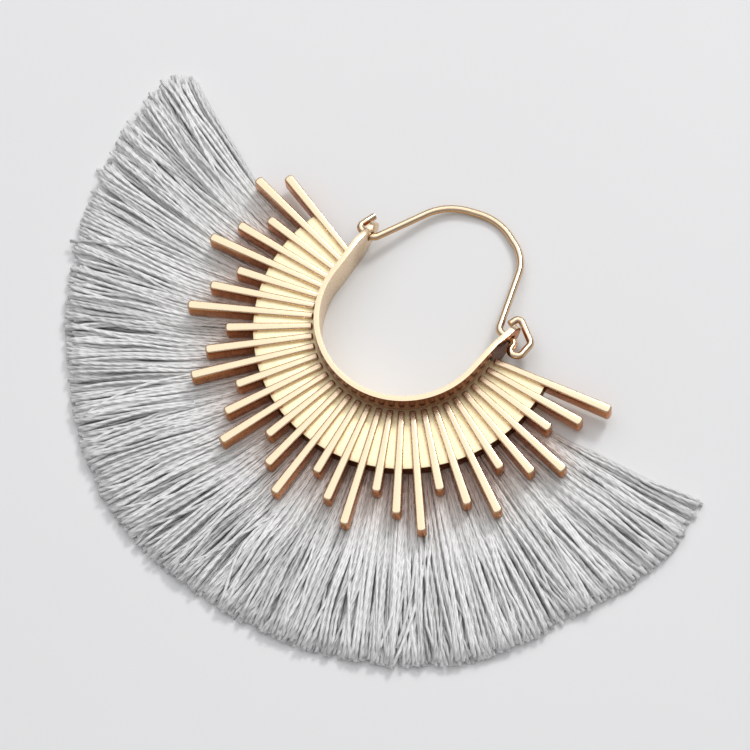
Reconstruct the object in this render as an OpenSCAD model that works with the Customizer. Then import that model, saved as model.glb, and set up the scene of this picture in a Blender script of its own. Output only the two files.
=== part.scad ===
// Fan tassel earring, lying on its back: a cast sunburst hoop, a hinged ear wire and a fan of cut threads.
// Millimetres. The origin is the hoop's centre, on the surface that the earring lies on.
// +Z is the front, +Y points to the top of the ear wire, and +X is the side of the wire's closed loop.

/* [Hoop] */
// Inside radius of the hoop's round part
hoop_r = 9.65; // [8:0.05:12]
// Thickness of the hoop's band
band_t = 0.6; // [0.5:0.05:0.8]
// Depth of the band from its back edge to its front edge
band_w = 5.2; // [4.8:0.1:7]
// Height of the eyes' centres above the hoop's centre
eye_rise = 5.95; // [5.7:0.05:8]
// How far the left arm spreads from the round part to its eye
left_flare = 0.55; // [0:0.05:1.5]
// How far the right arm spreads from the round part to its eye
right_flare = 0.15; // [0:0.05:1.5]
// Outside radius of each eye
eye_r = 1.65; // [1.55:0.05:1.9]
// Radius of the hole in each eye
eye_hole_r = 0.62; // [0.58:0.02:0.8]

/* [Plate] */
// Width of the plate from the band to its round outer edge
plate_w = 7.1; // [5:0.1:9]
// Thickness of the plate
plate_t = 0.9; // [0.6:0.05:1.1]
// Thickness of the rim that the plate's outer edge turns down into
rim_t = 0.6; // [0.4:0.05:1]
// How far the rays stand above the plate
ray_relief = 0.45; // [0.3:0.05:0.8]

/* [Rays] */
// Angle from one ray to the next
ray_pitch = 6.72; // [5.5:0.01:7]
// How far the band's front edge stands above the rays
band_proud = 2.1; // [1:0.1:3]
// Width of the gutter between the band and the rays
gutter_w = 0.3; // [0.2:0.05:0.8]
// Reach of a short ray past the plate
short_reach = 3.0; // [2:0.1:4]
// Reach of a middle ray past the plate
middle_reach = 5.4; // [4:0.1:6]
// Reach of a long ray past the plate
long_reach = 7.5; // [6:0.1:10]
// How much farther the rays at the two ends reach
end_growth = 0.4; // [0:0.1:1.5]
// Width of a ray at its inner end
ray_root_w = 0.78; // [0.6:0.02:0.9]
// Width of a ray at its tip
ray_tip_w = 1.14; // [0.9:0.02:1.3]
// Radius of the corners of a ray's tip
ray_corner_r = 0.4; // [0.2:0.05:0.44]
// Depth of a ray from its back to its front
ray_t = 2.2; // [1.6:0.1:2.3]

/* [Ear wire] */
// Diameter of the ear wire
wire_d = 0.84; // [0.7:0.02:0.9]
// Smallest gap between the wire and the eyes
wire_gap = 0.1; // [0.06:0.01:0.15]
// Height of the arch above the hinge line
arch_rise = 11.05; // [10:0.05:14]
// Gap between the right eye and the wire's leg
leg_gap = 0.85; // [0.8:0.05:1.2]
// Reach of the closed loop past the right eye
loop_reach = 2.05; // [2:0.05:2.6]
// How far the closed loop sags below the hinge line
loop_sag = 1.65; // [1.6:0.05:1.9]
// Height of the hook's tip above the hinge line
hook_tip = 2.4; // [1.8:0.1:2.6]
// Gap between the left eye and the hook's bend
hook_gap = 0.95; // [0.7:0.05:1.2]
// How far the hook's tip leans in over the left eye
hook_lean = 0.5; // [0.2:0.05:0.6]

/* [Fringe] */
// Length of the threads past the plate's edge
thread_reach = 22.0; // [15:0.1:35]
// Thickness of the fan of threads past the rays
fan_t = 1.9; // [1.2:0.1:2.6]
// Gap between the metal and the threads behind it
thread_gap = 0.1; // [0.05:0.01:0.2]
// Angle from straight down to the fan's left edge at the plate
fan_left = 93; // [80:1:96]
// Angle from straight down to the fan's right edge at the plate
fan_right = 91; // [80:1:96]
// How much wider the fan opens on the left at the threads' ends
left_spread = 9; // [0:0.5:10]
// How much wider the fan opens on the right at the threads' ends
right_spread = 4.5; // [0:0.5:10]
// Number of locks
locks = 44; // [30:1:60]

/* [Hidden] */
$fn = 48;
gold = "#e8c476";
thread_grey = "#c3c8cb";

rays = 32;
band_r = hoop_r + band_t;
mid_r = hoop_r + band_t / 2;
plate_r = band_r + plate_w;
ray_top_z = band_w - band_proud;
ray_z = ray_top_z - ray_t;
plate_z = ray_top_z - ray_relief - plate_t;

flares = [left_flare, right_flare];
eye_xs = [-mid_r - left_flare, mid_r + right_flare];
eye_z = band_w / 2;
// The arm narrows from the band's depth to its eye over this height
neck_h = 0.35 * eye_rise;
// Parts that are one casting run this far into each other
lap_in = 0.1;

function polar(r, a) = [r * cos(a), r * sin(a)];
function mix(a, b, s) = a + (b - a) * s;

// Rays are counted from the left end of the fan
function ray_angle(i) = -90 + ray_pitch * (i - (rays + 1) / 2);
// 0 at the lowest ray, 1 at the two end rays
function end_share(i) = abs(2 * i - (rays + 1)) / (rays - 1);
// The rays repeat as middle, long, short
function ray_reach(i) = [middle_reach, long_reach, short_reach][(i - 1) % 3];
function tip_radius(i) = plate_r + ray_reach(i) + end_growth * pow(end_share(i), 2);
// Beside an arm a ray starts at the arm's sloping side, elsewhere at the round band
function root_radius(i) =
    let (a = ray_angle(i), flare = cos(a) < 0 ? left_flare : right_flare)
    (band_r + gutter_w) / (sin(a) > 0 ? abs(cos(a)) - flare / eye_rise * sin(a) : 1);

// The hoop's opening with its two spreading sides, grown by some thickness
module opening_outline(grow) {
    r = hoop_r + grow;
    circle(r = r, $fn = 96);
    polygon([
        [-r, 0],
        [r, 0],
        [r + right_flare, eye_rise],
        [-r - left_flare, eye_rise]
    ]);
}

module band() {
    arm_top = eye_rise - neck_h;
    linear_extrude(band_w)
        difference() {
            opening_outline(band_t);
            opening_outline(0);
            translate([-2 * band_r, arm_top]) square(4 * band_r);
        }
}

// Neck and round eye that carry an arm on, as a flat tab along the arm's slope
module eye_tab(side) {
    flare = flares[side];
    slope = atan(flare / eye_rise);
    turned = side == 0 ? slope : -slope;
    reach = neck_h / cos(slope);
    back = reach + 2 * lap_in;
    translate([eye_xs[side], eye_rise, eye_z])
        rotate([0, 0, turned])
            translate([-band_t / 2, 0, 0])
                rotate([90, 0, 90])
                    linear_extrude(band_t) {
                        circle(r = eye_r);
                        polygon([
                            [-back, -band_w / 2],
                            [-back, band_w / 2],
                            [-reach, band_w / 2],
                            [0, eye_r],
                            [0, -eye_r],
                            [-reach, -band_w / 2]
                        ]);
                    }
}

// The plate's disc without the open sector between the two end rays
module plate_outline() {
    far = 2 * plate_r;
    difference() {
        circle(r = plate_r, $fn = 96);
        polygon([
            [0, 0],
            polar(far, ray_angle(rays)),
            [0, 2 * far],
            polar(far, ray_angle(1))
        ]);
    }
}

// Flat plate whose outer edge turns down into a rim as deep as the rays
module plate() {
    translate([0, 0, plate_z])
        linear_extrude(plate_t)
            difference() {
                plate_outline();
                opening_outline(band_t / 2);
            }
    translate([0, 0, ray_z])
        linear_extrude(plate_z + lap_in - ray_z)
            difference() {
                plate_outline();
                circle(r = plate_r - rim_t, $fn = 96);
            }
}

// Outline of a ray along +X: a bar that widens to a blunt tip with rounded corners
module ray_outline(i) {
    root = root_radius(i);
    side_y = ray_tip_w / 2;
    corner_x = tip_radius(i) - ray_corner_r;
    corner_y = side_y - ray_corner_r;
    polygon([
        [root, -ray_root_w / 2],
        [corner_x, -side_y],
        [corner_x, side_y],
        [root, ray_root_w / 2]
    ]);
    translate([corner_x - ray_corner_r, -corner_y])
        square([2 * ray_corner_r, 2 * corner_y]);
    for (y = [-corner_y, corner_y])
        translate([corner_x, y]) circle(r = ray_corner_r, $fn = 24);
}

// One ray: raised on the plate, and as deep as ray_t past the plate's edge
module ray(i) {
    seam_z = plate_z + plate_t / 2;
    rotate([0, 0, ray_angle(i)]) {
        translate([0, 0, seam_z])
            linear_extrude(ray_top_z - seam_z) ray_outline(i);
        translate([0, 0, ray_z])
            linear_extrude(seam_z + lap_in - ray_z)
                intersection() {
                    ray_outline(i);
                    translate([plate_r - lap_in, -ray_tip_w]) square([plate_r, 2 * ray_tip_w]);
                }
    }
}

module sunburst_hoop() {
    color(gold)
        difference() {
            union() {
                band();
                plate();
                for (i = [1:rays]) ray(i);
                for (side = [0, 1]) eye_tab(side);
            }
            for (x = eye_xs)
                translate([x, eye_rise, eye_z])
                    rotate([0, 90, 0])
                        cylinder(r = eye_hole_r, h = 6 * band_t, center = true, $fn = 32);
        }
}

// The wire lies on the back of each eye's hole, and turns about its own middle there
wire_r = wire_d / 2;
hinge_play = eye_hole_r - wire_r - wire_gap;
hinge_z = eye_z - hinge_play;
bend_r = 2 * wire_r;
left_leg = eye_xs[0] + band_t / 2 + wire_gap + 0.6 * wire_r;
right_leg = eye_xs[1] - band_t / 2 - leg_gap - wire_r;
hook_x = eye_xs[0] - band_t / 2 - hook_gap - wire_r;
loop_x = eye_xs[1] + band_t / 2 + loop_reach;
// Height above the hinge line that clears the turning eye by the wire's gap
loop_over = eye_r + hinge_play + wire_r + 2 * wire_gap;

span = right_leg - left_leg;
function across(s) = left_leg + s * span;

// The loop's closing bar passes over the eye's outer edge, and turns down beside its inner face
loop_turn_x = eye_xs[1] - leg_gap;
loop_shoulder = 0.5 * loop_over;
bar_slope = 0.57;

// Corners of the wire's middle line, from the hook's tip over the arch, through the right eye and
// round the loop to the wire's end beside its leg.
// Columns: place across, height above the hinge line, bend radius
wire_path = [
    [hook_x + hook_lean, hook_tip, 0],
    [hook_x, 0, 1.4 * wire_r],
    [left_leg, 0, bend_r],
    [across(0.18), 0.83 * arch_rise, 0.34 * span],
    [across(0.5), 1.05 * arch_rise, 0.33 * span],
    [across(0.79), 0.855 * arch_rise, 0.29 * span],
    [right_leg, 0, bend_r],
    [loop_x - 0.72 * loop_reach, 0, 1.2 * wire_r],
    [loop_x - 0.62 * loop_reach, -loop_sag, 1.3 * wire_r],
    [loop_x, -0.6 * loop_sag, 1.45 * wire_r],
    [loop_x - 0.04 * loop_reach, loop_shoulder, 2.1 * wire_r],
    [loop_turn_x, loop_shoulder + bar_slope * (loop_x - loop_turn_x), 1.2 * wire_r],
    [right_leg + wire_r, 0.65 * loop_over, 0]
];

function unit(v) = v / norm(v);
function flat(p) = [p[0], p[1]];
function corner(k) = flat(wire_path[k]);
function run(k) = unit(corner(k + 1) - corner(k));
function turn(k) =
    let (a = run(k - 1), b = run(k))
    atan2(a[0] * b[1] - a[1] * b[0], a * b);
function is_end(k) = k == 0 || k == len(wire_path) - 1;
// Length that a bend takes from the straights on both sides of its corner
function cut(k) = is_end(k) ? 0 : wire_path[k][2] * tan(abs(turn(k)) / 2);
// The straights run into the bends, which are a hair thicker
bend_swell = 0.012 * wire_r;
function lap(k) = is_end(k) ? 0 : wire_r / 7;
function bend_side(k) = sign(turn(k)) * [-run(k - 1)[1], run(k - 1)[0]];
function bend_centre(k) = corner(k) - run(k - 1) * cut(k) + bend_side(k) * wire_path[k][2];

module wire_straight(k) {
    from = corner(k) + run(k) * (cut(k) - lap(k));
    to = corner(k + 1) - run(k) * (cut(k + 1) - lap(k + 1));
    translate([from[0], from[1], 0])
        rotate([0, 0, atan2(run(k)[1], run(k)[0])])
            rotate([0, 90, 0])
                cylinder(r = wire_r, h = norm(to - from), $fn = 24);
}

module wire_bend(k) {
    centre = bend_centre(k);
    spoke = atan2(-bend_side(k)[1], -bend_side(k)[0]);
    translate([centre[0], centre[1], 0])
        rotate([0, 0, turn(k) > 0 ? spoke : spoke + turn(k)])
            rotate_extrude(angle = abs(turn(k)), $fn = 72)
                translate([wire_path[k][2], 0])
                    circle(r = wire_r + bend_swell, $fn = 24);
}

// The arch leans back until its top touches the surface
arch_corner = 4;
arch_top = bend_centre(arch_corner)[1] + wire_path[arch_corner][2];
rest_lean = asin((hinge_z - wire_r - bend_swell) / arch_top);

module ear_wire() {
    last = len(wire_path) - 1;
    color(gold)
        translate([0, eye_rise, hinge_z])
            rotate([-rest_lean, 0, 0]) {
                for (k = [0:last - 1]) wire_straight(k);
                for (k = [1:last - 1]) wire_bend(k);
                translate([each corner(0), 0]) sphere(r = wire_r + bend_swell, $fn = 24);
            }
}

// The fan of threads: a bound head behind the plate that runs on under the rays into locks.
// Reach of the threads' ends round the fan: [share of the way from left to right, share of thread_reach]
fan_outline = [
    [0, 1.1],
    [0.02, 1.18],
    [0.05, 1.14],
    [0.12, 1.07],
    [0.2, 1.01],
    [0.29, 0.97],
    [0.42, 1.0],
    [0.55, 0.97],
    [0.66, 1.0],
    [0.76, 1.03],
    [0.87, 0.975],
    [0.95, 1.025],
    [1, 0.985]
];
head_r = band_r + 2 * gutter_w;
head_top = plate_z - thread_gap;
under_rays = ray_z - thread_gap;
// The fan steps down to the rays' backs just inside the plate's rim
step_r = plate_r - rim_t - 2 * thread_gap;
clear_r = plate_r + long_reach + end_growth;

function end_radius(s) = plate_r + lookup(s, fan_outline) * thread_reach;
// Small repeatable unevenness of one station of the fan
function uneven(j, seed) = 0.6 * sin(j * 137.5 + seed * 71) + 0.4 * sin(j * 61.3 + seed * 29);
function is_groove(j) = j % 2 == 0;

// Each row of the fan: [distance from the hoop's centre, height, share of the groove between locks]
function fan_rows(end_r) = [
    [head_r, head_top, 0],
    [step_r - 2 * gutter_w, head_top, 0.1],
    [step_r, under_rays, 0.2],
    [clear_r + 3 * thread_gap, under_rays, 0.4],
    [mix(clear_r, end_r, 0.4), fan_t, 0.5],
    [mix(clear_r, end_r, 0.8), 0.95 * fan_t, 0.55],
    [end_r, 0.7 * fan_t, 0.6]
];
rows = len(fan_rows(0));
stations = 2 * locks;
// A groove between locks ends this far inside them, and the locks' ends are this uneven
groove_end = 0.055 * thread_reach;
lock_ragged = 0.032 * thread_reach;

// Point of station j in row k, on the fan's top or on its underside
function fan_point(j, k, top) =
    let (
        s = j / stations,
        end_r = end_radius(s) + lock_ragged * uneven(j, 1) - (is_groove(j) ? groove_end : 0),
        row = fan_rows(end_r)[k],
        out = (row[0] - head_r) / (end_r - head_r),
        left_edge = -fan_left - left_spread * out,
        right_edge = fan_right + right_spread * out,
        a = -90 + mix(left_edge, right_edge, s) + 0.6 * out * uneven(j, 2),
        groove = is_groove(j) ? row[2] : 0,
        z = top ? row[1] * (1 - 0.5 * groove) : row[1] * 0.25 * groove
    )
    [each polar(row[0], a), z];

module fringe() {
    function id(j, k, top) = (j * rows + k) * 2 + (top ? 1 : 0);
    // Two triangles for a quad whose corners run anticlockwise as seen from outside
    function quad(a, b, c, d) = [[a, c, b], [a, d, c]];
    points = [
        for (j = [0:stations])
            for (k = [0:rows - 1])
                for (top = [false, true]) fan_point(j, k, top)
    ];
    skin = [
        for (j = [0:stations - 1])
            for (k = [0:rows - 2])
                each [
                    each quad(id(j, k, true), id(j, k + 1, true), id(j + 1, k + 1, true), id(j + 1, k, true)),
                    each quad(id(j, k, false), id(j + 1, k, false), id(j + 1, k + 1, false), id(j, k + 1, false))
                ]
    ];
    inner_and_outer = [
        for (j = [0:stations - 1])
            each [
                each quad(id(j, 0, false), id(j, 0, true), id(j + 1, 0, true), id(j + 1, 0, false)),
                each quad(
                    id(j, rows - 1, false), id(j + 1, rows - 1, false),
                    id(j + 1, rows - 1, true), id(j, rows - 1, true)
                )
            ]
    ];
    left_and_right = [
        for (k = [0:rows - 2])
            each [
                each quad(id(0, k, false), id(0, k + 1, false), id(0, k + 1, true), id(0, k, true)),
                each quad(
                    id(stations, k, false), id(stations, k, true),
                    id(stations, k + 1, true), id(stations, k + 1, false)
                )
            ]
    ];
    color(thread_grey)
        polyhedron(points = points, faces = concat(skin, inner_and_outer, left_and_right));
}

sunburst_hoop();
ear_wire();
fringe();
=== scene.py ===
"""Fan tassel earring: a gold-plated sunburst hoop with a hinged ear wire and a fan of cut silver threads."""
import math

import bmesh
import bpy
import numpy as np
from bpy.props import FloatProperty, FloatVectorProperty, IntProperty, PointerProperty
from mathutils import Matrix, Vector


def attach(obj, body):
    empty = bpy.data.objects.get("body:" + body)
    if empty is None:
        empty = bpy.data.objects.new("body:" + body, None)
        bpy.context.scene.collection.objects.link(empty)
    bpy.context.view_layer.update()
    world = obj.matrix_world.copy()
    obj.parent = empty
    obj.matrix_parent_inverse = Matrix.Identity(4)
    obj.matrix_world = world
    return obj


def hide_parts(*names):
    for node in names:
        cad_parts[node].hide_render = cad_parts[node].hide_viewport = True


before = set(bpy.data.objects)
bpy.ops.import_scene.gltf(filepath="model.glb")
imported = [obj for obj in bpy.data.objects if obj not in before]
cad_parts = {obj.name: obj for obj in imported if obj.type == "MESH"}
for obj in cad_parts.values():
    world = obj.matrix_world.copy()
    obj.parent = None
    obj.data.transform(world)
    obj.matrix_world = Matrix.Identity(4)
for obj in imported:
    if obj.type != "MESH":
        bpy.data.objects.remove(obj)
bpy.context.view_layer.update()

bl_info = {
    "name": "Fan tassel earring",
    "version": (1, 0, 0),
    "blender": (4, 5, 0),
    "location": "View3D > Sidebar > Earring",
    "description": "Builds a sunburst hoop, its ear wire and a fan of cut threads around the CAD frame",
    "category": "Object",
}

MM = 0.001


def srgb(code):
    """Linear colour of an sRGB hex value."""
    parts = [int(code[i:i + 2], 16) / 255 for i in (0, 2, 4)]
    return tuple(p / 12.92 if p <= 0.04045 else ((p + 0.055) / 1.055) ** 2.4 for p in parts)


def length(name, text, mm):
    return FloatProperty(name=name, description=text, default=mm * MM, unit="LENGTH", precision=5)


def colour(name, text, code):
    return FloatVectorProperty(name=name, description=text, default=srgb(code), subtype="COLOR", size=3)


class CastingSettings(bpy.types.PropertyGroup):
    """Sizes of the sunburst hoop, as in its casting"""
    hoop_r: length("Hoop radius", "Inside radius of the hoop's round part", 9.65)
    band_t: length("Band thickness", "Thickness of the hoop's band", 0.6)
    band_w: length("Band depth", "Depth of the band from back to front", 5.2)
    eye_rise: length("Eye height", "Height of the eyes above the hoop's centre", 5.95)
    left_flare: length("Left flare", "How far the left arm spreads to its eye", 0.55)
    right_flare: length("Right flare", "How far the right arm spreads to its eye", 0.15)
    neck_h: length("Neck", "Height over which an arm narrows to its eye", 2.0825)
    eye_r: length("Eye radius", "Outside radius of an eye", 1.65)
    eye_hole_r: length("Eye hole radius", "Radius of the hole in an eye", 0.62)
    plate_r: length("Plate radius", "Radius of the plate's outer edge", 17.35)
    plate_z: length("Plate height", "Height of the plate's back", 1.75)
    plate_t: length("Plate thickness", "Thickness of the plate", 0.9)
    rim_t: length("Rim thickness", "Thickness of the rim that the plate's edge turns down into", 0.6)
    ray_top_z: length("Ray top", "Height of the rays' tops", 3.1)
    ray_z: length("Ray back", "Height of the rays' backs past the plate", 0.9)
    ray_root_r: length("Ray root", "Radius at which the rays begin", 10.55)
    ray_root_w: length("Ray root width", "Width of a ray at its root", 0.78)
    ray_tip_w: length("Ray tip width", "Width of a ray at its tip", 1.14)
    ray_corner_r: length("Ray corner", "Radius of the corners of a ray's tip", 0.4)
    short_reach: length("Short reach", "Reach of a short ray past the plate", 3.0)
    middle_reach: length("Middle reach", "Reach of a middle ray past the plate", 5.4)
    long_reach: length("Long reach", "Reach of a long ray past the plate", 7.5)
    end_growth: length("End growth", "How much farther the end rays reach", 0.4)
    edge_r: length("Edge radius", "Radius of the polished edges", 0.1)
    ray_edge_r: length("Ray edge radius", "Radius of the edges of the rays", 0.22)
    rays: IntProperty(name="Rays", description="Number of rays", default=32, min=3)
    pitch: FloatProperty(
        name="Ray pitch", description="Angle between rays", default=math.radians(6.72), subtype="ANGLE")


class WireSettings(bpy.types.PropertyGroup):
    """Sizes of the ear wire"""
    wire_r: length("Wire radius", "Radius of the wire", 0.42)
    hinge_z: length("Hinge height", "Height of the hinge line", 2.5)
    arch_rise: length("Arch", "Height of the arch above the hinge line", 11.05)
    leg_gap: length("Leg gap", "Gap between the right eye and the wire's leg", 0.85)
    loop_reach: length("Loop reach", "Reach of the closed loop past the right eye", 2.05)
    loop_sag: length("Loop sag", "How far the loop sags below the hinge line", 1.65)
    hook_tip: length("Hook tip", "Height of the hook's tip above the hinge line", 2.4)
    hook_gap: length("Hook gap", "Gap between the left eye and the hook's bend", 0.95)
    hook_lean: length("Hook lean", "How far the hook's tip leans in over the left eye", 0.5)


class ThreadSettings(bpy.types.PropertyGroup):
    """Sizes of the fringe"""
    thread_r: length("Thread radius", "Radius of one plied thread", 0.2)
    reach: length("Thread reach", "Length of the threads past the plate", 22.0)
    head_r: length("Head radius", "Inside radius of the threads' bound head", 10.85)
    fan_t: length("Fan thickness", "Thickness of the fan past the rays", 1.9)
    threads: IntProperty(name="Threads", description="Threads side by side in one layer", default=265, min=10)
    layers: IntProperty(name="Layers", description="Layers of threads", default=7, min=2)
    locks: IntProperty(name="Locks", description="Clumps that the threads gather into", default=84, min=1)
    seed: IntProperty(name="Seed", description="Start of the threads' unevenness", default=11)


class FinishSettings(bpy.types.PropertyGroup):
    """Colours of the finishes"""
    gold: colour("Gold", "Pale gold plating, polished", "F1D8B8")
    # painted shade and reflection: the walls between the rays are painted this brown in place of the dim
    # light and gold they reflect
    painted_wall_shade: colour("Gold walls", "Plating on the unpolished walls between the rays", "C87F42")
    # painted shade: the gutter walls beside the band and the plate's rim are painted this dark brown in place
    # of the shade there
    painted_deep_shade: colour("Gutter gold", "Plating deep beside the band and on the plate's rim", "7A4522")
    # painted shade: the flanks of the wire are painted this deeper gold in place of the shade and dim
    # reflections on them
    wire_flank_shade: colour("Wire flanks", "Deeper gold on the flanks of the ear wire", "C9935A")
    plate_gold: colour("Plate gold", "Satin gold of the plate", "FFF2CC")
    thread_light: colour("Light thread", "Lightest threads", "FAFAF9")
    thread_dark: colour("Dark thread", "Darkest threads", "BEBEBC")
    glow: colour("Gold glow", "Tone that the gold throws on the threads beside the rays", "D8A276")
    floor: colour("Floor", "Pale floor", "EFEFEF")


# Modelling helpers

# Distance in metres within which two places count as the same
NEAR = 1e-6
# Degrees between faces: an edge above the first is bevelled, one below the second is shaded smooth
BEVEL_FROM = 35
SMOOTH_BELOW = 40


def settings():
    return bpy.context.scene.earring


def deselect():
    if bpy.context.object and bpy.context.object.mode != "OBJECT":
        bpy.ops.object.mode_set(mode="OBJECT")
    bpy.ops.object.select_all(action="DESELECT")


def choose(obj):
    """Makes the object the only selected one and the active one."""
    deselect()
    bpy.context.view_layer.objects.active = obj
    obj.select_set(True)


def added(name):
    """The primitive that was just added, under its own name."""
    obj = bpy.context.object
    obj.name = name
    obj.data.name = name
    return obj


def edit(obj):
    """Opens the object in edit mode with its whole mesh selected."""
    choose(obj)
    bpy.ops.object.mode_set(mode="EDIT")
    bpy.ops.mesh.select_mode(type="VERT")
    bpy.ops.mesh.select_all(action="SELECT")


def pick(kind, test):
    """Selects the vertices, edges or faces of the edited mesh that pass the test, and nothing else."""
    bpy.ops.mesh.select_all(action="DESELECT")
    bpy.ops.mesh.select_mode(type=kind)
    mesh = bmesh.from_edit_mesh(bpy.context.object.data)
    items = {"VERT": mesh.verts, "EDGE": mesh.edges, "FACE": mesh.faces}[kind]
    for item in items:
        item.select = bool(test(item))
    mesh.select_flush_mode()
    bmesh.update_edit_mesh(bpy.context.object.data)


def extrude(x, y, z):
    """Extrudes what is selected in the edited mesh."""
    bpy.ops.mesh.extrude_region_move(TRANSFORM_OT_translate={"value": (x, y, z)})


def spin(steps, angle):
    """Turns the selected section round the hoop's middle, from its left side over the bottom to the right."""
    bpy.ops.mesh.spin(steps=steps, angle=angle, center=(0, 0, 0), axis=(0, 0, -1))


def place(obj, turn=None, size=None):
    """Bakes the object's place, turn and size into its mesh."""
    choose(obj)
    if size:
        obj.scale = size
    if turn:
        obj.rotation_euler = turn
    bpy.ops.object.transform_apply(location=True, rotation=True, scale=True)


def join(objects, name):
    deselect()
    for obj in objects:
        obj.select_set(True)
    bpy.context.view_layer.objects.active = objects[0]
    if len(objects) > 1:
        bpy.ops.object.join()
    return added(name)


def modify(obj, kind, **values):
    """Gives the object a modifier and applies it."""
    choose(obj)
    mod = obj.modifiers.new(kind.title(), kind)
    for key, value in values.items():
        setattr(mod, key, value)
    bpy.ops.object.modifier_apply(modifier=mod.name)


def tidy_mesh(obj):
    """Merges doubles, closes open ends and turns the faces outwards."""
    edit(obj)
    bpy.ops.mesh.remove_doubles(threshold=NEAR)
    bpy.ops.mesh.select_all(action="SELECT")
    bpy.ops.mesh.fill_holes(sides=0)
    bpy.ops.mesh.select_all(action="SELECT")
    bpy.ops.mesh.normals_make_consistent(inside=False)
    bpy.ops.object.mode_set(mode="OBJECT")


def smooth(obj):
    choose(obj)
    bpy.ops.object.shade_smooth_by_angle(angle=math.radians(SMOOTH_BELOW))


def soften(obj, radius, segments=2):
    """Rounds the object's edges with this radius."""
    modify(obj, "BEVEL", width=radius, segments=segments, limit_method="ANGLE",
           angle_limit=math.radians(BEVEL_FROM), use_clamp_overlap=True, harden_normals=False)
    smooth(obj)


def finish(obj, material, slot, body, *nodes):
    obj.data.materials.clear()
    obj.data.materials.append(material)
    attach(obj, body)
    if nodes:
        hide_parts(*nodes)


# Materials

# A wall's normal times its place, in metres: below the first it faces the hoop's middle, above the second
# it faces away from it
FACING_IN, FACING_OUT = -5 * MM, 2 * MM
# Walls are painted in shade from this far inside the plate's edge outwards, and the gutter beside the band is
# this wide
WALL_SHADE_MARGIN = 0.3 * MM
GUTTER_W = 2 * MM
CAST_ROUGHNESS, WIRE_ROUGHNESS = 0.26, 0.14
# Millimetres along a thread from one ply on its top to the next
PLY_LENGTH = 1.3
# Turns of the cord all round, 0.4 mm each where it lies
CORD_TURNS = 181.0


def add_node(tree, kind, values=None, links=None, **attributes):
    """Adds a node, sets its attributes and socket values, and links its inputs from other sockets."""
    node = tree.nodes.new(kind)
    for key, value in attributes.items():
        setattr(node, key, value)
    for key, value in (values or {}).items():
        node.inputs[key].default_value = value
    for key, socket in (links or {}).items():
        tree.links.new(socket, node.inputs[key])
    return node


def calc(tree, operation, *inputs):
    """Output of a math node whose inputs are numbers or sockets."""
    values = {i: item for i, item in enumerate(inputs) if isinstance(item, float)}
    links = {i: item for i, item in enumerate(inputs) if i not in values}
    return add_node(tree, "ShaderNodeMath", values, links, operation=operation).outputs["Value"]


def blend(tree, share, a, b):
    """Colour that goes from a to b with the share. Both are colours or sockets."""
    node = add_node(tree, "ShaderNodeMix", links={"Factor": share}, data_type="RGBA")
    for key, item in (("A", a), ("B", b)):
        if isinstance(item, tuple):
            node.inputs[key].default_value = (*item, 1.0)
        else:
            tree.links.new(item, node.inputs[key])
    return node.outputs["Result"]


def mapped(tree, value, start, end, low, high, how="LINEAR"):
    """Value that goes from low to high while the input goes from start to end."""
    node = add_node(
        tree, "ShaderNodeMapRange", {"From Min": start, "From Max": end, "To Min": low, "To Max": high},
        {"Value": value}, interpolation_type=how)
    return node.outputs["Result"]


def parted(tree, vector):
    """The X, Y and Z outputs of a vector."""
    return add_node(tree, "ShaderNodeSeparateXYZ", links={"Vector": vector}).outputs


def from_middle(tree, where):
    """Distance from the hoop's middle."""
    return add_node(tree, "ShaderNodeVectorMath", links={0: where}, operation="LENGTH").outputs["Value"]


def noise(tree, where, size, detail):
    """Cloudy pattern with patches of this size in metres."""
    node = add_node(tree, "ShaderNodeTexNoise", {"Scale": 1 / size, "Detail": detail}, {"Vector": where})
    return node.outputs["Fac"]


def relief(tree, height, strength, depth, **below):
    """Normal of a fine relief of this depth in metres, which may lie over another one."""
    node = add_node(
        tree, "ShaderNodeBump", {"Strength": strength, "Distance": depth}, {"Height": height, **below})
    return node.outputs["Normal"]


def steepness(tree, normal):
    """1 on upright walls and 0 on tops and backs."""
    return mapped(tree, calc(tree, "ABSOLUTE", parted(tree, normal)["Z"]), 0.25, 0.7, 1.0, 0.0, "SMOOTHSTEP")


def new_material(name):
    material = bpy.data.materials.new(name)
    material.use_nodes = True
    material.node_tree.nodes.clear()
    return material, material.node_tree


def surfaced(material, tree, values, links):
    """The material, with its shader added."""
    shader = add_node(tree, "ShaderNodeBsdfPrincipled", values, links)
    add_node(tree, "ShaderNodeOutputMaterial", links={"Surface": shader.outputs[0]})
    return material


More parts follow.
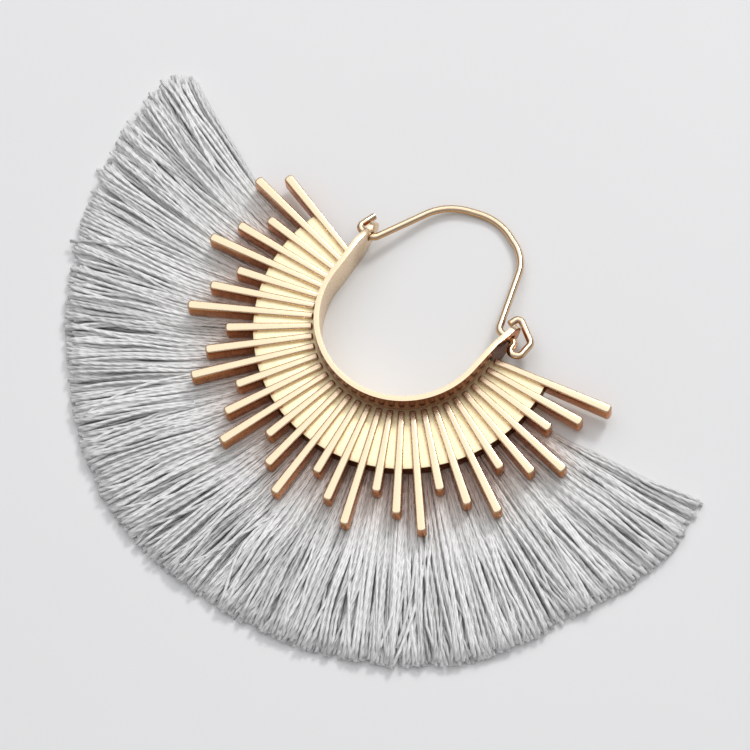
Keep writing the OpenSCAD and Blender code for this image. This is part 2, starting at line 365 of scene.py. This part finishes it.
def polished_plating(name, base, wall, gutter, roughness, shade_below_z, shade_past_r, gutter_r):
    """Gold plating over a cast alloy, polished, with painted shade and reflection: the walls between the rays
    are painted browner.
    """
    material, tree = new_material(name)
    spot = add_node(tree, "ShaderNodeTexCoord")
    where, normal = spot.outputs["Object"], spot.outputs["Normal"]
    steep = steepness(tree, normal)
    facing = add_node(
        tree, "ShaderNodeVectorMath", links={0: normal, 1: where}, operation="DOT_PRODUCT").outputs["Value"]
    reach = from_middle(tree, where)
    # painted shade and reflection: tops, and walls above the plate's top and inside the plate's edge, keep
    # the bright gold; the other walls are painted brown. The band's inner wall stays bright over its whole
    # depth, and walls that face away from the hoop are painted brown
    deep = calc(
        tree, "MULTIPLY", calc(tree, "LESS_THAN", parted(tree, where)["Z"], shade_below_z),
        calc(tree, "GREATER_THAN", facing, FACING_IN))
    past = calc(
        tree, "MAXIMUM", calc(tree, "GREATER_THAN", reach, shade_past_r),
        calc(tree, "GREATER_THAN", facing, FACING_OUT))
    painted_shade_mask = calc(tree, "MULTIPLY", steep, calc(tree, "MAXIMUM", deep, past))
    # painted shade: little light comes into the gutter beside the band, so its walls are painted darker still
    wall_shade_tone = blend(tree, calc(tree, "LESS_THAN", reach, gutter_r), wall, gutter)
    tint = blend(tree, painted_shade_mask, base, wall_shade_tone)
    # polishing leaves soft waves of about 1.5 mm, and grain of about 0.15 mm
    waves = noise(tree, where, 1.5 * MM, 2.0)
    grain = noise(tree, where, 0.15 * MM, 3.0)
    rough = mapped(tree, grain, 0.3, 0.7, roughness * 0.75, roughness * 1.35)
    wavy = relief(tree, waves, 0.5, 0.05 * MM)
    fine = relief(tree, grain, 0.12, 0.01 * MM, Normal=wavy)
    return surfaced(
        material, tree, {"Metallic": 1.0}, {"Base Color": tint, "Roughness": rough, "Normal": fine})


def satin_plating(name, base, wall):
    """Gold plating over an unpolished cast ground: matte, with a fine pebbled skin of about 0.25 mm."""
    material, tree = new_material(name)
    spot = add_node(tree, "ShaderNodeTexCoord")
    pebbles = noise(tree, spot.outputs["Object"], 0.25 * MM, 4.0)
    # painted shade: the hollows between the pebbles are painted a little deeper in tone
    hollow_shade = (base[0] * 0.95, base[1] * 0.92, base[2] * 0.85)
    ramp = add_node(tree, "ShaderNodeValToRGB", links={"Fac": pebbles})
    for stop, position, tone in zip(ramp.color_ramp.elements, (0.35, 0.6), (hollow_shade, base)):
        stop.position = position
        stop.color = (*tone, 1.0)
    # painted shade: the plate's upright edges and rim are painted brown like the deep walls
    skin = blend(tree, steepness(tree, spot.outputs["Normal"]), ramp.outputs["Color"], wall)
    bump = relief(tree, pebbles, 0.6, 0.04 * MM)
    return surfaced(
        material, tree, {"Metallic": 1.0, "Roughness": 0.48}, {"Base Color": skin, "Normal": bump})


def silky_thread(name, light, dark, glow, near_r, far_r):
    """Plied polyester thread: silky grey, with two plies twisted round each other."""
    material, tree = new_material(name)
    tone = add_node(tree, "ShaderNodeAttribute", attribute_name="tone").outputs["Fac"]
    # U is the length in millimetres, V goes once round the thread
    along = parted(tree, add_node(tree, "ShaderNodeUVMap", uv_map="strand").outputs["UV"])
    turns = calc(tree, "MULTIPLY", along["X"], 2 * math.pi / PLY_LENGTH)
    ply = calc(tree, "SINE", calc(tree, "MULTIPLY_ADD", along["Y"], 4 * math.pi, turns))
    # painted shade: the furrow between the plies is painted darker than their backs
    grey = blend(tree, calc(tree, "MULTIPLY_ADD", ply, 0.13, tone), dark, light)
    # the gold throws a warm tone on the threads between the rays
    reach = from_middle(tree, add_node(tree, "ShaderNodeTexCoord").outputs["Object"])
    tint = blend(tree, mapped(tree, reach, near_r, far_r, 0.4, 0.0), grey, glow)
    bump = relief(tree, ply, 0.6, 0.05 * MM)
    return surfaced(
        material, tree,
        {"Roughness": 0.36, "Specular IOR Level": 0.7, "Sheen Weight": 0.2, "Sheen Roughness": 0.4},
        {"Base Color": tint, "Normal": bump})


def bound_cord(name, base):
    """Wound polyester cord: fine turns side by side round it, painted a step darker than the threads as
    painted shade behind the plate.
    """
    material, tree = new_material(name)
    where = parted(tree, add_node(tree, "ShaderNodeTexCoord").outputs["Object"])
    angle = calc(tree, "ARCTAN2", where["Y"], where["X"])
    wave = calc(tree, "SINE", calc(tree, "MULTIPLY", angle, CORD_TURNS))
    # painted shade: the cord lies in the shade behind the plate, so it is painted a step darker than the
    # threads
    cord_shade = (*[b * 0.7 for b in base], 1.0)
    return surfaced(
        material, tree, {"Base Color": cord_shade, "Roughness": 0.5, "Sheen Weight": 0.2},
        {"Normal": relief(tree, wave, 0.7, 0.08 * MM)})


def painted_floor(base):
    """Matte painted board: even and pale, with a very faint cloudiness."""
    material, tree = new_material("painted_board")
    cloud = noise(tree, add_node(tree, "ShaderNodeTexCoord").outputs["Object"], 60 * MM, 3.0)
    tint = blend(tree, cloud, tuple(c * 0.96 for c in base), base)
    return surfaced(material, tree, {"Roughness": 0.55}, {"Base Color": tint})


def material_once(name, make, *values):
    return bpy.data.materials.get(name) or make(name, *values)


def cast_gold():
    f, c = settings().finish, settings().casting
    return material_once(
        "polished_gold_plating", polished_plating, tuple(f.gold), tuple(f.painted_wall_shade), tuple(f.painted_deep_shade),
        CAST_ROUGHNESS, c.plate_z + c.plate_t, c.plate_r - WALL_SHADE_MARGIN, c.hoop_r + c.band_t + GUTTER_W)


def wire_gold():
    """Plating on the drawn wire: it has no gutter, and both of its flanks are painted deeper gold all along
    it, as painted shade.
    """
    f = settings().finish
    flank_shade = tuple(f.wire_flank_shade)
    return material_once(
        "polished_gold_wire", polished_plating, tuple(f.gold), flank_shade, flank_shade, WIRE_ROUGHNESS, 0.0, 0.0, 0.0)


# The casting

class EARRING_OT_band(bpy.types.Operator):
    """Band of the hoop: a deep half ring that runs up into two arms with an eye at each end"""
    bl_idname = "earring.band"
    bl_label = "Hoop band"

    def execute(self, context):
        c = settings().casting
        mid_r = c.hoop_r + c.band_t / 2
        mid_z = c.band_w / 2
        deselect()
        bpy.ops.mesh.primitive_plane_add(
            size=1, location=(-mid_r, 0, mid_z), rotation=(math.pi / 2, 0, 0))
        band = added("hoop_band")
        place(band, size=(c.band_t, c.band_w, 1))
        edit(band)
        spin(96, math.pi)
        tidy_mesh(band)
        arm_top = c.eye_rise - c.neck_h
        for side, flare in ((-1, -c.left_flare), (1, c.right_flare)):
            edit(band)
            pick("FACE", lambda f: f.calc_center_median().x * side > 0
                 and abs(f.calc_center_median().y) < NEAR and abs(f.normal.y) > 0.9)
            share = arm_top / c.eye_rise
            extrude(flare * share, arm_top, 0)
            extrude(flare * (1 - share), c.neck_h, 0)
            bpy.ops.transform.resize(
                value=(1, 1, 2 * c.eye_r / c.band_w), center_override=(0, c.eye_rise, mid_z))
            bpy.ops.object.mode_set(mode="OBJECT")
            eye = (side * mid_r + flare, c.eye_rise, mid_z)
            # the eye lies in its arm, and its hole runs straight across the hoop
            slope = -math.atan(flare / c.eye_rise)
            for radius, depth, how in (
                    (c.eye_r, c.band_t, "UNION"), (c.eye_hole_r, 4 * c.band_t, "DIFFERENCE")):
                deselect()
                bpy.ops.mesh.primitive_cylinder_add(
                    vertices=48, radius=radius, depth=depth, location=eye,
                    rotation=(0, math.pi / 2, slope if how == "UNION" else 0))
                tool = added("eye_tool")
                modify(band, "BOOLEAN", object=tool, operation=how, solver="EXACT")
                bpy.data.objects.remove(tool)
        tidy_mesh(band)
        soften(band, c.edge_r, 3)
        finish(band, cast_gold(), "gold_plate", "hoop", "sunburst_hoop")
        return {"FINISHED"}


def ray_angle(c, i):
    """Angle of a ray, counted from 1 at the left."""
    return -math.pi / 2 + c.pitch * (i - (c.rays + 1) / 2)


# Share of the band's thickness, from inside, at which the plate begins
PLATE_START = 0.9
# How far inside the plate's edge the rays go down to their full depth
RAY_LAP = 0.1 * MM


class EARRING_OT_plate(bpy.types.Operator):
    """Flat ring plate that carries the rays, with an outer edge that turns down into a rim"""
    bl_idname = "earring.plate"
    bl_label = "Sunburst plate"

    def execute(self, context):
        c = settings().casting
        inner = c.hoop_r + c.band_t * PLATE_START
        first = ray_angle(c, 1)
        deselect()
        bpy.ops.mesh.primitive_plane_add(
            size=1, location=((inner + c.plate_r) / 2, 0, c.plate_z + c.plate_t / 2),
            rotation=(math.pi / 2, 0, 0))
        plate = added("sunburst_plate")
        place(plate, size=(c.plate_r - inner, c.plate_t, 1))
        rim_x = c.plate_r - c.rim_t
        edit(plate)
        bpy.ops.mesh.bisect(plane_co=(rim_x, 0, 0), plane_no=(1, 0, 0))
        pick("EDGE", lambda e: all(v.co.x > rim_x - NEAR and v.co.z < c.plate_z + NEAR for v in e.verts))
        extrude(0, 0, c.ray_z - c.plate_z)
        bpy.ops.object.mode_set(mode="OBJECT")
        place(plate, turn=(0, 0, first))
        edit(plate)
        spin(160, c.pitch * (c.rays - 1))
        tidy_mesh(plate)
        soften(plate, c.edge_r)
        f = settings().finish
        satin = material_once(
            "satin_gold_plating", satin_plating, tuple(f.plate_gold), tuple(f.painted_deep_shade))
        finish(plate, satin, "gold_plate", "hoop", "sunburst_hoop")
        return {"FINISHED"}


class EARRING_OT_rays(bpy.types.Operator):
    """Rays: bars raised on the plate, which go on past its edge at full depth to a rounded tip"""
    bl_idname = "earring.rays"
    bl_label = "Sunburst rays"

    def execute(self, context):
        c = settings().casting
        seam_z = c.plate_z + c.plate_t / 2
        bars = []
        for i in range(1, c.rays + 1):
            angle = ray_angle(c, i)
            # beside an arm, which leans outwards, a ray begins farther out than beside the round part
            flare = c.left_flare if math.cos(angle) < 0 else c.right_flare
            lean = abs(math.cos(angle)) - flare / c.eye_rise * math.sin(angle) if math.sin(angle) > 0 else 1
            root = c.ray_root_r / lean
            end = abs(2 * i - (c.rays + 1)) / (c.rays - 1)
            reach = (c.middle_reach, c.long_reach, c.short_reach)[(i - 1) % 3]
            tip = c.plate_r + reach + c.end_growth * end ** 2
            split = c.plate_r - RAY_LAP
            deselect()
            bpy.ops.mesh.primitive_cube_add(
                size=1, location=((root + tip) / 2, 0, (seam_z + c.ray_top_z) / 2))
            bar = added("ray")
            place(bar, size=(tip - root, c.ray_tip_w, c.ray_top_z - seam_z))
            edit(bar)
            bpy.ops.mesh.bisect(plane_co=(split, 0, 0), plane_no=(1, 0, 0))
            pick("VERT", lambda v: v.co.x < root + NEAR)
            bpy.ops.transform.resize(
                value=(1, c.ray_root_w / c.ray_tip_w, 1), center_override=(root, 0, seam_z))
            pick("VERT", lambda v: abs(v.co.x - split) < NEAR)
            share = (split - root) / (tip - root)
            middle_w = c.ray_root_w + (c.ray_tip_w - c.ray_root_w) * share
            bpy.ops.transform.resize(
                value=(1, middle_w / c.ray_tip_w, 1), center_override=(split, 0, seam_z))
            pick("FACE", lambda f: f.normal.z < -0.9 and f.calc_center_median().x > split)
            extrude(0, 0, c.ray_z - seam_z)
            pick("EDGE", lambda e: all(v.co.x > tip - NEAR for v in e.verts)
                 and abs(e.verts[0].co.y - e.verts[1].co.y) < NEAR)
            bpy.ops.mesh.bevel(offset=c.ray_corner_r, segments=4, affect="EDGES")
            bpy.ops.object.mode_set(mode="OBJECT")
            place(bar, turn=(0, 0, angle))
            bars.append(bar)
        rays = join(bars, "sunburst_rays")
        soften(rays, c.ray_edge_r, 3)
        finish(rays, cast_gold(), "gold_plate", "hoop", "sunburst_hoop")
        return {"FINISHED"}


# The ear wire

# Gap between the wire and the eye beside it
WIRE_GAP = 0.1 * MM


def filleted(corners):
    """Points along a path of corners (x, y, bend radius), with each corner turned into an arc."""
    points = []
    for k, (x, y, radius) in enumerate(corners):
        here = Vector((x, y))
        if k in (0, len(corners) - 1):
            points.append(here)
            continue
        come = (here - Vector(corners[k - 1][:2])).normalized()
        leave = (Vector(corners[k + 1][:2]) - here).normalized()
        turn = math.atan2(come.x * leave.y - come.y * leave.x, come.dot(leave))
        side = math.copysign(1, turn) * Vector((-come.y, come.x))
        centre = here - come * radius * math.tan(abs(turn) / 2) + side * radius
        steps = max(6, int(abs(turn) / math.radians(2.5)))
        for n in range(steps + 1):
            spoke = -side * radius
            spoke.rotate(Matrix.Rotation(turn * n / steps, 2))
            points.append(centre + spoke)
    return points


class EARRING_OT_wire(bpy.types.Operator):
    """Ear wire: one bent round wire with a hook at its left end and a closed loop at its right end"""
    bl_idname = "earring.wire"
    bl_label = "Ear wire"

    def execute(self, context):
        c, w = settings().casting, settings().wire
        mid_r = c.hoop_r + c.band_t / 2
        left_eye, right_eye = -mid_r - c.left_flare, mid_r + c.right_flare
        hook_x = left_eye - c.band_t / 2 - w.hook_gap - w.wire_r
        left_leg = left_eye + c.band_t / 2 + WIRE_GAP + 0.6 * w.wire_r
        right_leg = right_eye - c.band_t / 2 - w.leg_gap - w.wire_r
        loop_x = right_eye + c.band_t / 2 + w.loop_reach
        # the closing bar clears the eye, which turns a little off its own middle
        over = c.eye_r + c.eye_hole_r + WIRE_GAP
        turn_x = right_eye - w.leg_gap
        shoulder = 0.5 * over
        bend = 2 * w.wire_r
        span, rise, reach = right_leg - left_leg, w.arch_rise, w.loop_reach
        # x, y and bend radius of each corner: hook, arch, leg and closed loop
        corners = [
            (hook_x + w.hook_lean, w.hook_tip, 0),
            (hook_x, 0, 0.7 * bend),
            (left_leg, 0, bend),
            (left_leg + 0.18 * span, 0.83 * rise, 0.34 * span),
            (left_leg + 0.5 * span, 1.05 * rise, 0.33 * span),
            (left_leg + 0.79 * span, 0.855 * rise, 0.29 * span),
            (right_leg, 0, bend),
            (loop_x - 0.72 * reach, 0, 0.6 * bend),
            (loop_x - 0.62 * reach, -w.loop_sag, 0.65 * bend),
            (loop_x, -0.6 * w.loop_sag, 0.725 * bend),
            (loop_x - 0.04 * reach, shoulder, 1.05 * bend),
            (turn_x, shoulder + 0.57 * (loop_x - turn_x), 0.6 * bend),
            (right_leg + w.wire_r, 0.65 * over, 0),
        ]
        points = filleted(corners)
        top = max(p.y for p in points)
        lean = math.asin((w.hinge_z - w.wire_r) / top)
        curve = bpy.data.curves.new("ear_wire_path", "CURVE")
        curve.dimensions = "3D"
        spline = curve.splines.new("POLY")
        spline.points.add(len(points) - 1)
        for point, p in zip(spline.points, points):
            point.co = (p.x, c.eye_rise + p.y * math.cos(lean), w.hinge_z - p.y * math.sin(lean), 1)
        curve.bevel_depth = w.wire_r
        curve.bevel_resolution = 8
        curve.use_fill_caps = True
        wire = bpy.data.objects.new("ear_wire_bent", curve)
        context.collection.objects.link(wire)
        choose(wire)
        bpy.ops.object.convert(target="MESH")
        wire = added("ear_wire_bent")
        tidy_mesh(wire)
        soften(wire, 0.6 * w.wire_r, 3)
        finish(wire, wire_gold(), "gold_wire", "wire", "ear_wire")
        return {"FINISHED"}


# The fringe

# Reach of the threads' ends round the fan: share of the way from left to right, share of the reach
FAN_OUTLINE = (
    (0, 1.1), (0.02, 1.18), (0.05, 1.14), (0.12, 1.07), (0.2, 1.01), (0.29, 0.97), (0.42, 1.0),
    (0.55, 0.97), (0.66, 1.0), (0.76, 1.03), (0.87, 0.975), (0.95, 1.025), (1, 0.985),
)
# Degrees from straight down to the fan's two straight edges, and how much farther they spread at the ends
FAN_LEFT, FAN_RIGHT = 93, 91
LEFT_SPREAD, RIGHT_SPREAD = 9, 4.5
# The fan's width in degrees, and how far past its straight edges a thread may wander
FAN_WIDTH, EDGE_ROOM = 190, 0.8
# Unevenness of the threads' reach in millimetres
RAGGED = 0.65
# Unevenness of the ends' angles in degrees: of locks, of threads, of stray threads, and of a thread's waves
LOCK_LEAN, DRIFT, STRAY_DRIFT, SWAY = 1.0, 0.7, 3.2, 0.3
STRAY_SHARE = 0.22
# Least and most: share by which a lock closes up, a thread's waves sideways, its waves up and down
GATHER, WAVES, LIFT_WAVES = (0.1, 0.85), (1.0, 3.2), (0.5, 1.8)
# Unevenness of a thread's height in its lock as a share of the fan's thickness: by itself and in waves
LIFT, LIFT_WAVE = 0.1, 0.09
# Share by which a lock's sides lie lower than its middle
LOCK_ROUND = 0.3
# Gap in millimetres between the threads and the metal over them
UNDER = 0.12
# Top of the fan: shares of the way from the rays to the ends, and from the second of these on, shares of
# the fan's thickness. At the first it is as low as behind the rays
CROWN_RUN, CROWN = (0, 0.38, 0.8, 1), (1, 0.95, 0.68)
# Threads lie pressed together at their head: share of their length, share of the full radius
PRESS_RUN, PRESS = (0, 0.35, 0.6, 1), (0.62, 0.7, 0.95, 1.0)
# Faces round a thread
SIDES = 5
# The cut end of a thread opens to this many times its radius, and its tone is this much lighter
CUT_SPREAD, CUT_LIGHT = 1.2, 0.4
# Tone of the lowest layer, how much lighter the top layer is, and unevenness between threads. The step
# between layers is painted shade: lower layers are painted darker, as in the shade of those above
LOW_TONE, LAYER_SHADE_STEP, TONE_SPREAD = 0.25, 0.55, 0.3
# Share of its threads that the top layer lacks, so that single ones stand out from those below
TOP_SPARSER = 0.42
# Radius of the bound cord at the threads' head, and its height over the surface
CORD_R, CORD_LIFT = 0.68 * MM, 0.15 * MM


def thread_paths(c, t, rng, count, height):
    """Middle lines in millimetres and radii of a layer: arrays of threads, stations and x, y, z."""
    mm = 1 / MM
    plate_r, long_r = c.plate_r * mm, (c.plate_r + c.long_reach + c.end_growth) * mm
    s = np.clip((np.arange(count) + rng.uniform(0, 1, count)) / count, 0.001, 0.999)
    shares, reaches = np.array(FAN_OUTLINE).T
    end_r = plate_r + np.interp(s, shares, reaches) * t.reach * mm - np.abs(rng.normal(0, RAGGED, count))
    # stations in millimetres: at the head, where the threads dip under the rim, under the rays, past them
    rim_r = plate_r - c.rim_t * mm
    near = [t.head_r * mm + 0.8, rim_r - 0.9, rim_r - 0.1, (plate_r + long_r) / 2, long_r + 0.3]
    far = np.linspace(0, 1, 8)[1:]
    r = np.concatenate([
        np.broadcast_to(near, (count, len(near))),
        near[-1] + far[None, :] * (end_r[:, None] - near[-1])], axis=1)
    out = (r - near[0]) / (end_r[:, None] - near[0])
    # threads gather into locks, which lean to one side or the other and close up towards their ends
    edges = np.sort(rng.uniform(0, 1, t.locks - 1))
    which = np.searchsorted(edges, s)
    bounds = np.concatenate([[0], edges, [1]])
    lock_mid = (bounds[which] + bounds[which + 1]) / 2
    lock_half = (bounds[which + 1] - bounds[which]) / 2
    gather = rng.uniform(*GATHER, t.locks)[which][:, None] * np.clip(out * 1.1 - 0.25, 0, 1)
    place_s = s[:, None] + (lock_mid - s)[:, None] * gather
    left = -FAN_LEFT - LEFT_SPREAD * out
    right = FAN_RIGHT + RIGHT_SPREAD * out
    angle = -90 + left + (right - left) * place_s
    lean = rng.normal(0, LOCK_LEAN, t.locks)[which]
    drift = rng.normal(0, DRIFT, count)
    drift = drift + (rng.random(count) < STRAY_SHARE) * rng.normal(0, STRAY_DRIFT, count)
    waves = rng.uniform(*WAVES, (count, 1)) * out + rng.uniform(0, 1, (count, 1))
    sway = rng.normal(0, SWAY, (count, 1)) * np.sin(2 * np.pi * waves) * np.clip(3 * out - 0.6, 0, 1)
    # no thread leaves the fan at its two straight edges
    room = np.minimum(s, 1 - s) * FAN_WIDTH + EDGE_ROOM
    angle = angle + np.clip((lean + drift)[:, None] * out ** 2 + sway, -room[:, None], room[:, None])
    # the fan runs low behind the rays, rises past them and comes down to the cut ends
    run = np.clip((r - near[-1]) / (end_r[:, None] - near[-1]), 0, 1)
    rise = t.fan_t * mm
    behind = np.where(r < near[2] - 0.1, c.plate_z * mm - UNDER, c.ray_z * mm - UNDER)
    crown = np.interp(run, CROWN_RUN, [behind.min(), *(share * rise for share in CROWN)])
    top = np.where(r > near[-1] + 0.01, crown, behind)
    radius = t.thread_r * mm * np.interp(out, PRESS_RUN, PRESS)
    across = (s - lock_mid) / lock_half
    round_off = 1 - LOCK_ROUND * (across ** 2)[:, None] * run
    lift = height + rng.normal(0, LIFT, (count, 1)) + LIFT_WAVE * np.sin(
        2 * np.pi * (rng.uniform(*LIFT_WAVES, (count, 1)) * out + rng.uniform(0, 1, (count, 1))))
    z = radius + np.clip(lift, 0, 1) * round_off * np.maximum(top - 2 * radius, 0)
    z[:, -1] += (CUT_SPREAD - 1) * radius[:, -1]
    a = np.radians(angle)
    return np.stack([r * np.cos(a), r * np.sin(a), z], axis=2), radius


def thread_mesh(name, paths, radii, tones, starts_at):
    """One mesh of round threads along the paths (mm), with a UV map of length and turn, and a tone."""
    count, stations, _ = paths.shape
    tangent = np.gradient(paths, axis=1)
    tangent /= np.linalg.norm(tangent, axis=2, keepdims=True)
    side = np.cross(tangent, [0, 0, 1.0])
    side /= np.linalg.norm(side, axis=2, keepdims=True)
    over = np.cross(side, tangent)
    turn = np.arange(SIDES) * 2 * np.pi / SIDES
    radii = radii * np.concatenate([np.ones(stations - 1), [CUT_SPREAD]])
    ring = radii[:, :, None, None] * (
        side[:, :, None, :] * np.cos(turn)[None, None, :, None]
        + over[:, :, None, :] * np.sin(turn)[None, None, :, None])
    points = (paths[:, :, None, :] + ring).reshape(-1, 3) * MM
    base = (np.arange(count) * stations * SIDES)[:, None, None]
    row = (np.arange(stations - 1) * SIDES)[None, :, None]
    col = np.arange(SIDES)[None, None, :]
    nxt = (col + 1) % SIDES
    # the rings run clockwise seen from the cut ends, so the side faces are turned round to face outwards
    quads = np.stack([
        base + row + col, base + row + nxt, base + row + SIDES + nxt, base + row + SIDES + col],
        axis=3).reshape(-1, 4)[:, ::-1]
    first = base[:, 0] + np.arange(SIDES)[None, :]
    last = first + (stations - 1) * SIDES
    caps = np.concatenate([first, last[:, ::-1]])
    mesh = bpy.data.meshes.new(name)
    loops = np.concatenate([quads.ravel(), caps.ravel()])
    starts = np.concatenate([np.arange(len(quads)) * 4, len(quads) * 4 + np.arange(len(caps)) * SIDES])
    mesh.vertices.add(len(points))
    mesh.vertices.foreach_set("co", points.ravel())
    mesh.loops.add(len(loops))
    mesh.loops.foreach_set("vertex_index", loops.astype(np.int32))
    mesh.polygons.add(len(starts))
    mesh.polygons.foreach_set("loop_start", starts.astype(np.int32))
    mesh.update(calc_edges=True)
    # U is the length in millimetres, V goes once round
    step = np.linalg.norm(np.diff(paths, axis=1), axis=2)
    run = starts_at[:, None] + np.concatenate([np.zeros((count, 1)), np.cumsum(step, axis=1)], axis=1)
    u = np.stack([run[:, :-1], run[:, :-1], run[:, 1:], run[:, 1:]], axis=2)[:, :, None, :]
    u = np.broadcast_to(u, (count, stations - 1, SIDES, 4))
    v = np.stack([col, col + 1, col + 1, col], axis=3) / SIDES
    v = np.broadcast_to(v, (count, stations - 1, SIDES, 4))
    uv = np.stack([u, v], axis=4).reshape(-1, 4, 2)[:, ::-1].reshape(-1, 2)
    uv = np.concatenate([uv, np.zeros((len(caps) * SIDES, 2))])
    mesh.uv_layers.new(name="strand").data.foreach_set("uv", uv.astype(np.float32).ravel())
    shade = np.repeat(tones[:, None], stations, axis=1)
    shade[:, -1] += CUT_LIGHT
    tone = mesh.attributes.new("tone", "FLOAT", "POINT")
    tone.data.foreach_set("value", np.repeat(np.clip(shade, 0, 1).ravel(), SIDES).astype(np.float32))
    mesh.polygons.foreach_set("use_smooth", np.arange(len(starts)) < len(quads))
    mesh.validate()
    obj = bpy.data.objects.new(name, mesh)
    bpy.context.collection.objects.link(obj)
    return obj


class EARRING_OT_head(bpy.types.Operator):
    """Bound head of the fringe: a thick cord round which the threads are folded, behind the plate"""
    bl_idname = "earring.head"
    bl_label = "Thread head"

    def execute(self, context):
        c, t = settings().casting, settings().fringe
        mid = t.head_r + CORD_R
        deselect()
        bpy.ops.mesh.primitive_circle_add(
            vertices=16, radius=CORD_R, fill_type="NGON", location=(mid, 0, CORD_R + CORD_LIFT),
            rotation=(math.pi / 2, 0, 0))
        head = added("thread_head")
        place(head)
        place(head, turn=(0, 0, math.radians(-90 - FAN_LEFT)))
        edit(head)
        spin(140, math.radians(FAN_LEFT + FAN_RIGHT))
        tidy_mesh(head)
        smooth(head)
        finish(head, material_once("polyester_cord", bound_cord, tuple(settings().finish.thread_light)),
               "silver_thread", "hoop", "fringe")
        return {"FINISHED"}


class EARRING_OT_threads(bpy.types.Operator):
    """Threads of the fringe: layers of single plied threads that gather into locks and end in a ragged cut"""
    bl_idname = "earring.threads"
    bl_label = "Threads"

    def execute(self, context):
        c, t, f = settings().casting, settings().fringe, settings().finish
        rng = np.random.default_rng(t.seed)
        material = material_once(
            "plied_polyester_thread", silky_thread, tuple(f.thread_light), tuple(f.thread_dark),
            tuple(f.glow), c.plate_r, c.plate_r + c.long_reach)
        for layer in range(t.layers):
            share = layer / (t.layers - 1)
            count = int(t.threads * (1 - TOP_SPARSER * share))
            paths, radii = thread_paths(c, t, rng, count, share)
            # painted shade: the lower layers are painted darker than the top one
            tones = np.clip(rng.normal(LOW_TONE + LAYER_SHADE_STEP * share, TONE_SPREAD, count), 0, 1)
            # each thread's twist begins at another point
            starts_at = rng.uniform(0, 5, count)
            threads = thread_mesh(f"threads_{layer + 1}", paths, radii, tones, starts_at)
            finish(threads, material, "silver_thread", "hoop", "fringe")
        return {"FINISHED"}


# Stage

# The camera looks at this point from this direction, with this side up. Its lens is in millimetres
CAMERA_AIM = Vector((0.71, -6.47, 1.2)) * MM
CAMERA_BACK = Vector((0.28659, -0.25316, 0.924))
CAMERA_UP = Vector((-0.57629, 0.72491, 0.37735))
CAMERA_DISTANCE = 412.6 * MM
CAMERA_LENS = 176
# Name, place across, away and up in metres, size in metres, power in watts
LIGHTS = (("soft_box", 0.05, 0.41, 0.93, 1.7, 5.7), ("window_light", 0.45, 0.7, 0.8, 0.3, 4.0))
FLOOR_R = 1.5


class EARRING_OT_stage(bpy.types.Operator):
    """Pale floor, soft studio light and the camera"""
    bl_idname = "earring.stage"
    bl_label = "Stage"

    def execute(self, context):
        deselect()
        bpy.ops.mesh.primitive_circle_add(vertices=96, radius=FLOOR_R, fill_type="NGON", location=(0, 0, 0))
        floor = added("floor")
        place(floor)
        floor.data.materials.append(painted_floor(tuple(settings().finish.floor)))
        back = CAMERA_BACK.normalized()
        up = CAMERA_UP.normalized()
        right = up.cross(back).normalized()
        camera = bpy.data.cameras.new("camera")
        camera.lens = CAMERA_LENS
        camera.sensor_width = 36
        camera.clip_start = 0.01
        camera.clip_end = 10
        eye = bpy.data.objects.new("camera", camera)
        eye.matrix_world = Matrix.Translation(CAMERA_AIM + back * CAMERA_DISTANCE) @ Matrix(
            (right, up, back)).transposed().to_4x4()
        context.collection.objects.link(eye)
        context.scene.camera = eye
        away = Vector((-right.y, right.x, 0)).normalized()
        level = Vector((right.x, right.y, 0)).normalized()
        for name, across, deep, high, size, power in LIGHTS:
            light = bpy.data.lights.new(name, "AREA")
            light.shape = "DISK"
            light.size = size
            light.energy = power
            lamp = bpy.data.objects.new(name, light)
            lamp.location = level * across + away * deep + Vector((0, 0, high))
            lamp.rotation_euler = (-lamp.location).to_track_quat("-Z", "Y").to_euler()
            context.collection.objects.link(lamp)
        world = bpy.data.worlds.new("studio")
        world.use_nodes = True
        tree = world.node_tree
        # a pale ceiling that darkens towards the horizon
        sky = add_node(tree, "ShaderNodeTexCoord").outputs["Generated"]
        glow = mapped(tree, parted(tree, sky)["Z"], 0.0, 0.9, 0.1, 0.52)
        background = tree.nodes["Background"]
        background.inputs["Color"].default_value = (0.97, 0.98, 1.0, 1.0)
        tree.links.new(glow, background.inputs["Strength"])
        context.scene.view_settings.view_transform = "Standard"
        context.scene.world = world
        return {"FINISHED"}


# Add-on

class EarringSettings(bpy.types.PropertyGroup):
    """All the earring's settings"""
    casting: PointerProperty(type=CastingSettings)
    wire: PointerProperty(type=WireSettings)
    fringe: PointerProperty(type=ThreadSettings)
    finish: PointerProperty(type=FinishSettings)


STEPS = (EARRING_OT_stage, EARRING_OT_band, EARRING_OT_plate, EARRING_OT_rays, EARRING_OT_wire,
         EARRING_OT_head, EARRING_OT_threads)


class EARRING_PT_panel(bpy.types.Panel):
    """Sidebar panel that builds the earring piece by piece"""
    bl_label = "Fan tassel earring"
    bl_idname = "EARRING_PT_panel"
    bl_space_type = "VIEW_3D"
    bl_region_type = "UI"
    bl_category = "Earring"

    def draw(self, context):
        for step in STEPS:
            self.layout.operator(step.bl_idname)
        for name in ("casting", "wire", "fringe", "finish"):
            group = getattr(context.scene.earring, name)
            box = self.layout.box()
            for key in group.bl_rna.properties.keys():
                if key not in ("rna_type", "name"):
                    box.prop(group, key)


CLASSES = (CastingSettings, WireSettings, ThreadSettings, FinishSettings, EarringSettings, *STEPS,
           EARRING_PT_panel)


def register():
    for cls in CLASSES:
        bpy.utils.register_class(cls)
    bpy.types.Scene.earring = PointerProperty(type=EarringSettings)


def unregister():
    del bpy.types.Scene.earring
    for cls in reversed(CLASSES):
        bpy.utils.unregister_class(cls)


def main():
    register()
    for step in STEPS:
        group, name = step.bl_idname.split(".")
        getattr(getattr(bpy.ops, group), name)()


if __name__ == "__main__":
    main()
